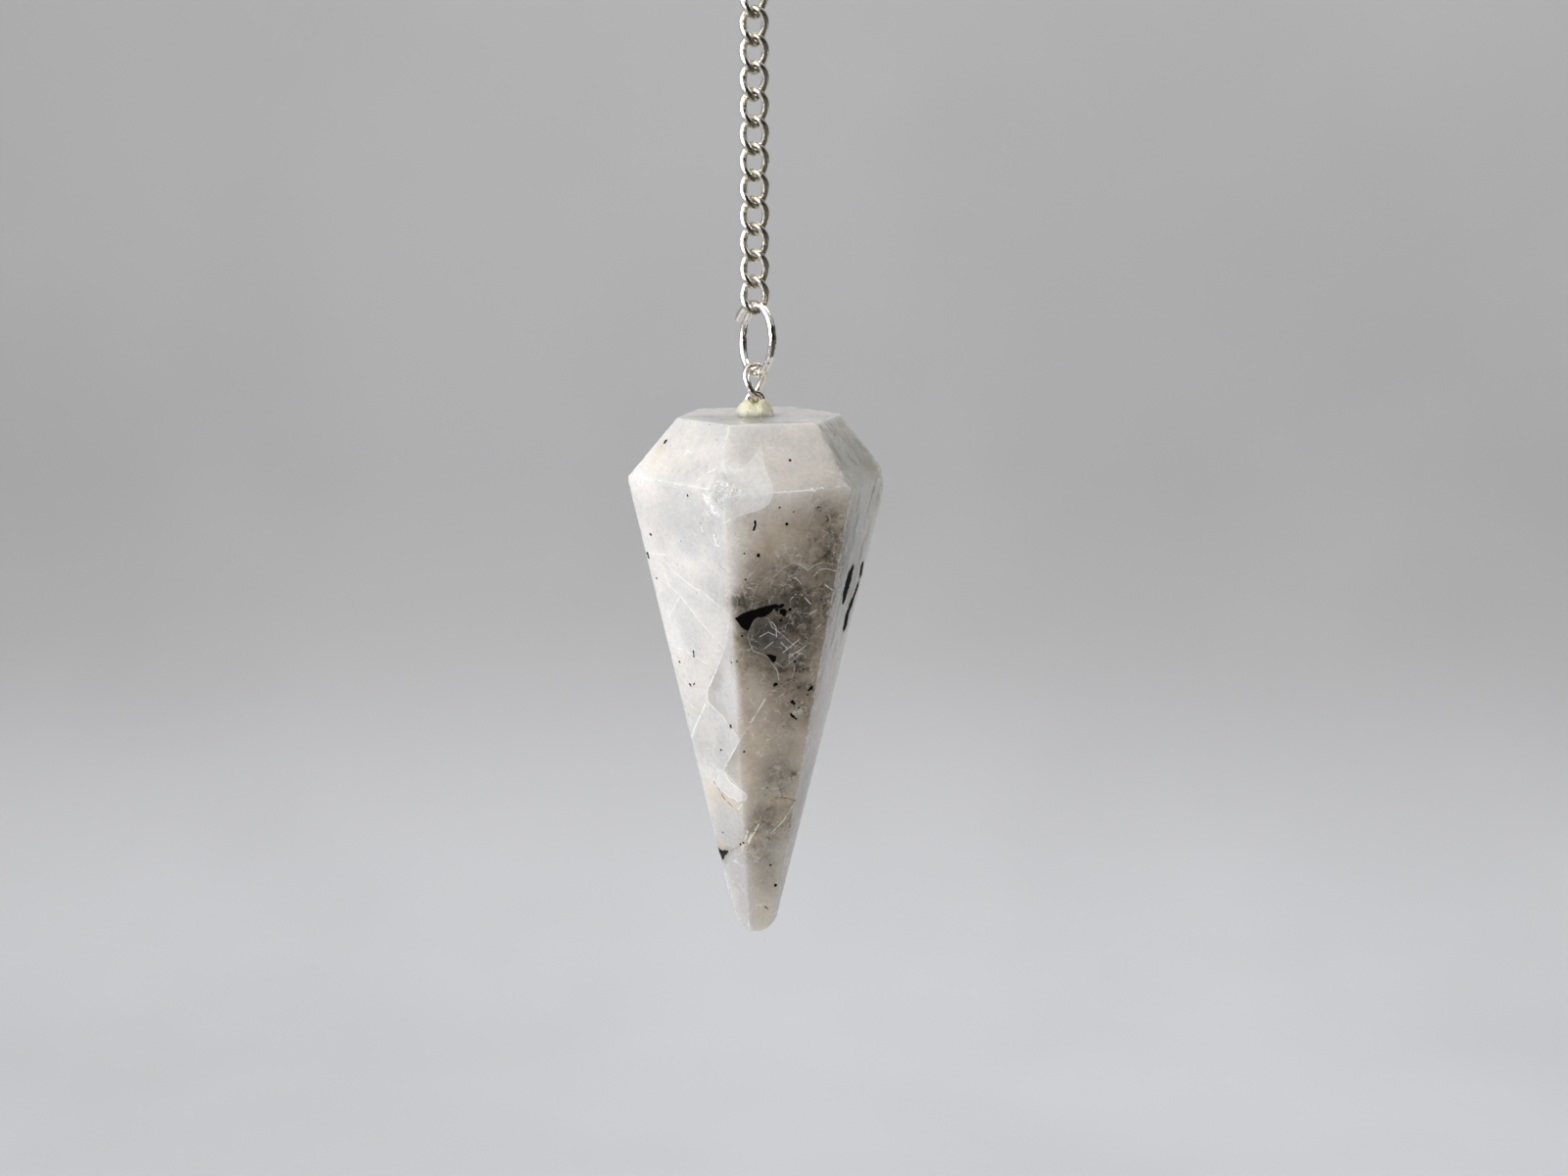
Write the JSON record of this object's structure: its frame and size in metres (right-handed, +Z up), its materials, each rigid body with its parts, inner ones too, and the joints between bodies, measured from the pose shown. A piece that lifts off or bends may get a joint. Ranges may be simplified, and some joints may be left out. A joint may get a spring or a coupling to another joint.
{
  "type": "pendulum pendant",
  "caption": "Six-sided moonstone point with a flat table, hung by an eye pin, jump ring and short curb chain from a plain end ring.",
  "frame": {"origin": "inside the top of the end ring, on the hang line, where a hook, peg or finger carries the pendulum", "axes": "+Z up along the hang line, +X to the right and +Y away from the viewer of the pictured front"},
  "size_m": [0.0207, 0.0205, 0.0846],
  "materials": {
    "moonstone": "polished white moonstone, cloudy and translucent, with grey smoky patches, black specks and white cleavage lines",
    "chain_silver": "silver-plated wire with a faint warm tarnish",
    "ring_silver": "bright silver-plated wire with light plier marks",
    "glue": "clear glue, cured pale yellow and glossy"
  },
  "bodies": {
    "chain": {"end_ring": "ring_silver", "link_01": "chain_silver", "link_02": "chain_silver", "link_03": "chain_silver", "link_04": "chain_silver", "link_05": "chain_silver", "link_06": "chain_silver", "link_07": "chain_silver", "link_08": "chain_silver", "link_09": "chain_silver", "link_10": "chain_silver", "link_11": "chain_silver", "link_12": "chain_silver"},
    "ring": {"jump_ring": "ring_silver"},
    "drop": {"connector_link": "chain_silver", "eye_pin": "chain_silver", "glue_bead": "glue", "stone": "moonstone"}
  },
  "joints": [
    {"name": "ring_swing", "type": "hinge", "parent": "chain", "child": "ring", "pos_m": [0, 0, -0.03184], "axis": [0.8746, 0.4848, 0], "range_deg": [-50, 50]},
    {"name": "drop_swing", "type": "hinge", "parent": "ring", "child": "drop", "pos_m": [0, 0, -0.03679], "axis": [0.4848, -0.8746, 0], "range_deg": [-90, 90]}
  ]
}
